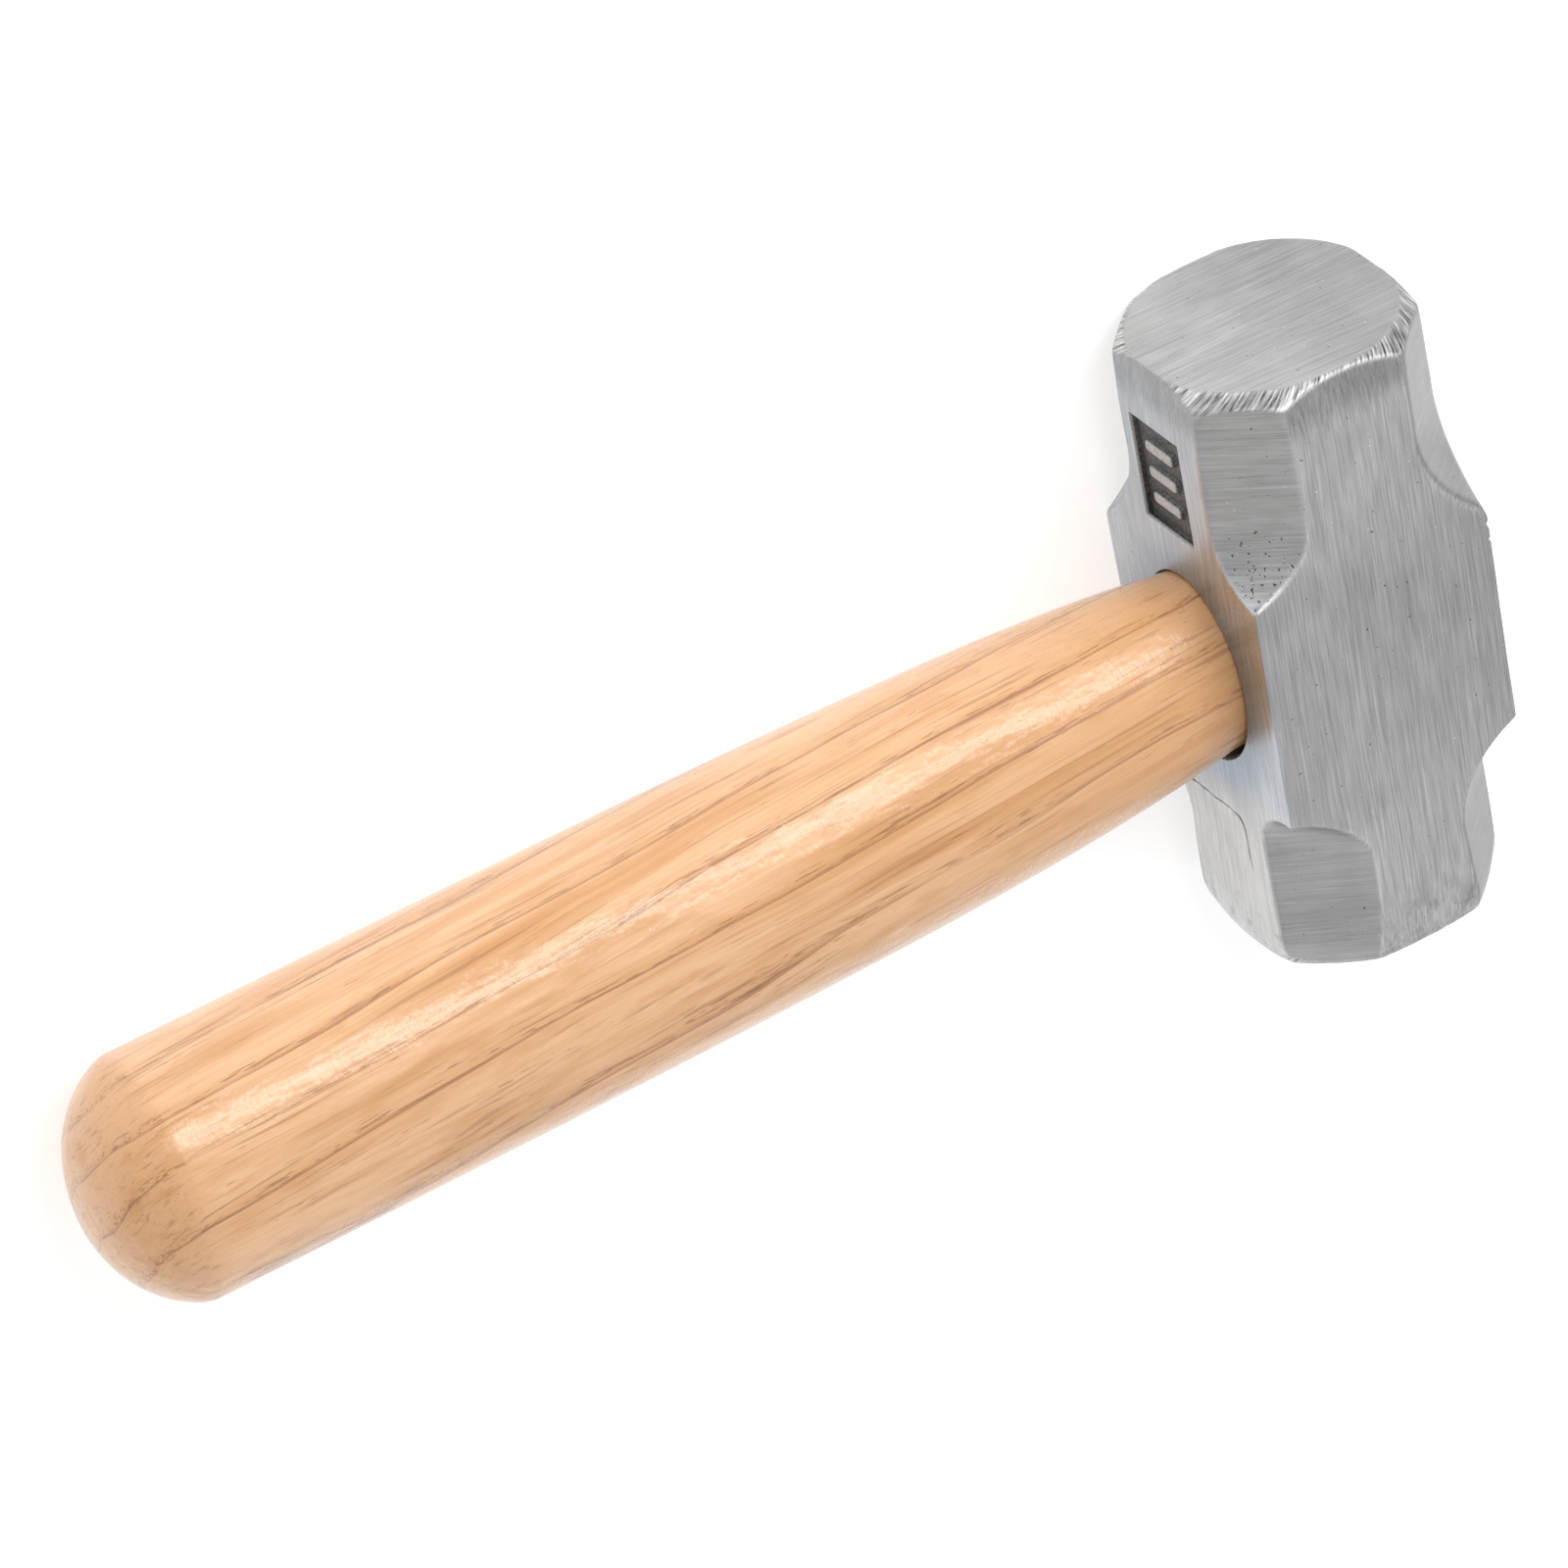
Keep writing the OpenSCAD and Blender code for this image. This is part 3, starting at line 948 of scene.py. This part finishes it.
def wood_colour(g, light, deep, dark):
    """Ring-porous wood. Returns its colour and a height for its open pores."""
    axes = grain_axes(g)
    phase = g.math("FRACT", g.math("DIVIDE", axes[1], RING_SPACING))
    early = g.times(g.ramp(phase, 0.0, 0.04), g.ramp(phase, 0.26, 0.08))

    # Deeper zones, early wood, fibres and mottling
    zones = fibre_noise(g, axes, 48, 2.4, 4, detail=3, offset=3)
    mottle = fibre_noise(g, axes, 9, 2.6, 3, detail=3, offset=17)
    fibres = fibre_noise(g, axes, 14, 0.28, 0.28, detail=3)
    ends = g.plus(g.ramp(axes[0], *NEAR_HEAD_X, 0.0, 0.55), g.ramp(axes[0], *END_GRAIN_X, 0.0, 0.5))
    colour = g.tint(g.math("MAXIMUM", g.ramp(zones, 0.38, 0.75), ends), light, deep)
    colour = g.tint(g.times(early, 0.35), colour, deep)
    colour = g.tint(g.ramp(fibres, 0.42, 0.75, 0.0, 0.45), colour, deep)
    colour = g.tint(g.ramp(mottle, 0.5, 0.7, 0.0, 0.5), colour, deep)

    # Dark lines in patches, mostly in the early wood
    patches = fibre_noise(g, axes, 34, 1.6, 2.6, detail=2, offset=11)
    gate = g.times(g.ramp(patches, 0.4, 0.56), g.blend(early, 0.6, 1.0))
    lines = fibre_noise(g, axes, 26, 0.4, 1.6, detail=3, offset=5)
    line = g.times(g.ramp(lines, 0.53, 0.66), gate)
    colour = g.tint(g.times(line, 0.65), colour, dark)

    # The thin boundary between rings
    bounds = g.times(g.ramp(phase, 0.07, 0.0), g.ramp(zones, 0.33, 0.5))
    colour = g.tint(g.times(bounds, 0.6), colour, dark)

    # Open pores, most of them in the early wood
    pores = fibre_noise(g, axes, 4.5, 0.22, 0.4, detail=2, offset=7)
    limit = g.blend(g.math("MAXIMUM", g.times(gate, 0.6), early), 0.26, 0.45)
    pore = g.ramp(g.minus(limit, pores), 0.0, 0.06)
    colour = g.tint(g.times(pore, 0.55), colour, dark)
    return colour, g.minus(g.times(fibres, 0.3), pore)


def handle_material():
    """Clear varnish over straight-grained pale wood."""
    g = Graph("varnished_wood")
    colour, height = wood_colour(g, linear(228, 181, 136), linear(203, 146, 90), linear(134, 80, 38))
    ripple = g.noise(g.axes(0.45, 2.2, 2.2), detail=3, roughness=0.6)
    lumps = g.noise(g.axes(1.6, 1.4, 1.4), detail=2)
    swells = g.noise(g.axes(8, 2.5, 2.5), detail=2)
    coat = g.plus(g.times(ripple, 0.8), g.times(lumps, 0.5))
    coat = g.plus(coat, g.times(swells, 2.0))
    return g.finish(Base_Color=colour, Roughness=0.5, Normal=g.bump(height, 0.05, 0.5),
                    Coat_Weight=1.0, Coat_Roughness=0.23, Coat_IOR=1.5,
                    Coat_Normal=g.bump(coat, 0.16, 1.0))


def wedge_wood_material():
    """Dry hardwood wedge, its end crushed by the hammer that drove it."""
    g = Graph("wedge_wood")
    colour, height = wood_colour(g, linear(206, 160, 112), linear(178, 128, 82), linear(120, 78, 46))
    crushed = g.noise(g.axes(1.0, 0.35, 1.4), detail=4)
    colour = g.tint(g.ramp(crushed, 0.38, 0.68, 0.0, 0.6), colour, linear(136, 92, 54))
    height = g.plus(height, crushed)
    return g.finish(Base_Color=colour, Roughness=0.7, Normal=g.bump(height, 0.08, 0.8))


# ---------------------------------------------------------------- pieces

head = build_head()
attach(head, "root")
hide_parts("head")

handle = build_handle()
handle.data.materials.clear()
handle.data.materials.append(handle_material())
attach(handle, "root")
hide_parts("handle")

wedge_steel = wedge_steel_material()
wedge_finishes = {
    "wooden_wedge": wedge_wood_material(),
    "steel_wedge_1": wedge_steel,
    "steel_wedge_2": wedge_steel,
}
for node, finish in wedge_finishes.items():
    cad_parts[node].data.materials.clear()
    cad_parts[node].data.materials.append(finish)


# ---------------------------------------------------------------- stage, light and camera

FLOOR_REACH = 4.0
FLOOR_GLOW = 0.58
WORLD_LIGHT = 0.66
WHITE = (1.0, 1.0, 1.0, 1.0)
OBJECT_MIDDLE = Vector((-REACH / 2 * MM, 0, AXIS_Z * MM))

# Lamps: the direction each shines from, its distance and size in metres, and its power
Lamp = namedtuple("Lamp", "name direction distance size_x size_y power")
LAMPS = (
    Lamp("key", (0.326, 0.663, 0.674), 0.65, 0.75, 0.27, 1.95),
    Lamp("key_core", (0.326, 0.663, 0.674), 0.64, 0.7, 0.10, 1.1),
    Lamp("fill", (-0.2, -0.85, 0.45), 0.7, 0.6, 0.6, 0.45),
)

# The photograph's camera: the point it looks at, where it stands, its roll and its lens
LOOK_AT = Vector((-0.0684, 0.0105, AXIS_Z * MM))
AZIMUTH = math.radians(119.575)
ELEVATION = math.radians(48.599)
ROLL = math.radians(130.69)
DISTANCE = 0.8388
LENS = 175.3
SENSOR = 36


def build_floor():
    """A pale floor that glows a little, as under studio light."""
    r = FLOOR_REACH
    mesh = bpy.data.meshes.new("floor")
    mesh.from_pydata([(-r, -r, 0), (r, -r, 0), (r, r, 0), (-r, r, 0)], [], [(0, 1, 2, 3)])
    floor = bpy.data.objects.new("floor", mesh)
    bpy.context.scene.collection.objects.link(floor)
    g = Graph("pale_floor")
    mottle = g.noise(g.axes(300, 300, 300), detail=2)
    colour = g.tint(mottle, (0.62, 0.62, 0.62), (0.66, 0.66, 0.66))
    mesh.materials.append(g.finish(Base_Color=colour, Roughness=0.9, Emission_Color=WHITE,
                                   Emission_Strength=FLOOR_GLOW))


def add_lamp(lamp):
    """A rectangular lamp aimed at the middle of the object, its long side level."""
    data = bpy.data.lights.new(lamp.name, "AREA")
    data.shape = "RECTANGLE"
    data.size = lamp.size_x
    data.size_y = lamp.size_y
    data.energy = lamp.power
    obj = bpy.data.objects.new(lamp.name, data)
    bpy.context.scene.collection.objects.link(obj)
    back = Vector(lamp.direction).normalized()
    side = Vector((1, 0, 0))
    side = (side - back * side.dot(back)).normalized()
    turn = Matrix((side, back.cross(side), back)).transposed()
    obj.matrix_world = Matrix.Translation(OBJECT_MIDDLE + back * lamp.distance) @ turn.to_4x4()


def build_world():
    """Even white light from all round."""
    world = bpy.data.worlds.new("studio")
    world.use_nodes = True
    bpy.context.scene.world = world
    background = world.node_tree.nodes["Background"]
    background.inputs["Color"].default_value = WHITE
    background.inputs["Strength"].default_value = WORLD_LIGHT


def build_camera():
    """The camera at the photograph's viewing angle."""
    data = bpy.data.cameras.new("camera")
    data.lens = LENS
    data.sensor_width = SENSOR
    data.clip_start = 0.01
    data.clip_end = 20
    camera = bpy.data.objects.new("camera", data)
    bpy.context.scene.collection.objects.link(camera)
    out = math.cos(ELEVATION)
    back = Vector((out * math.cos(AZIMUTH), out * math.sin(AZIMUTH), math.sin(ELEVATION)))
    level = (-back).cross(Vector((0, 0, 1))).normalized()
    rise = level.cross(-back)
    right = level * math.cos(ROLL) + rise * math.sin(ROLL)
    up = rise * math.cos(ROLL) - level * math.sin(ROLL)
    turn = Matrix((right, up, back)).transposed()
    camera.matrix_world = Matrix.Translation(LOOK_AT + back * DISTANCE) @ turn.to_4x4()
    bpy.context.scene.camera = camera


build_floor()
build_world()
for lamp in LAMPS:
    add_lamp(lamp)
build_camera()
bpy.context.scene.view_settings.view_transform = "Standard"
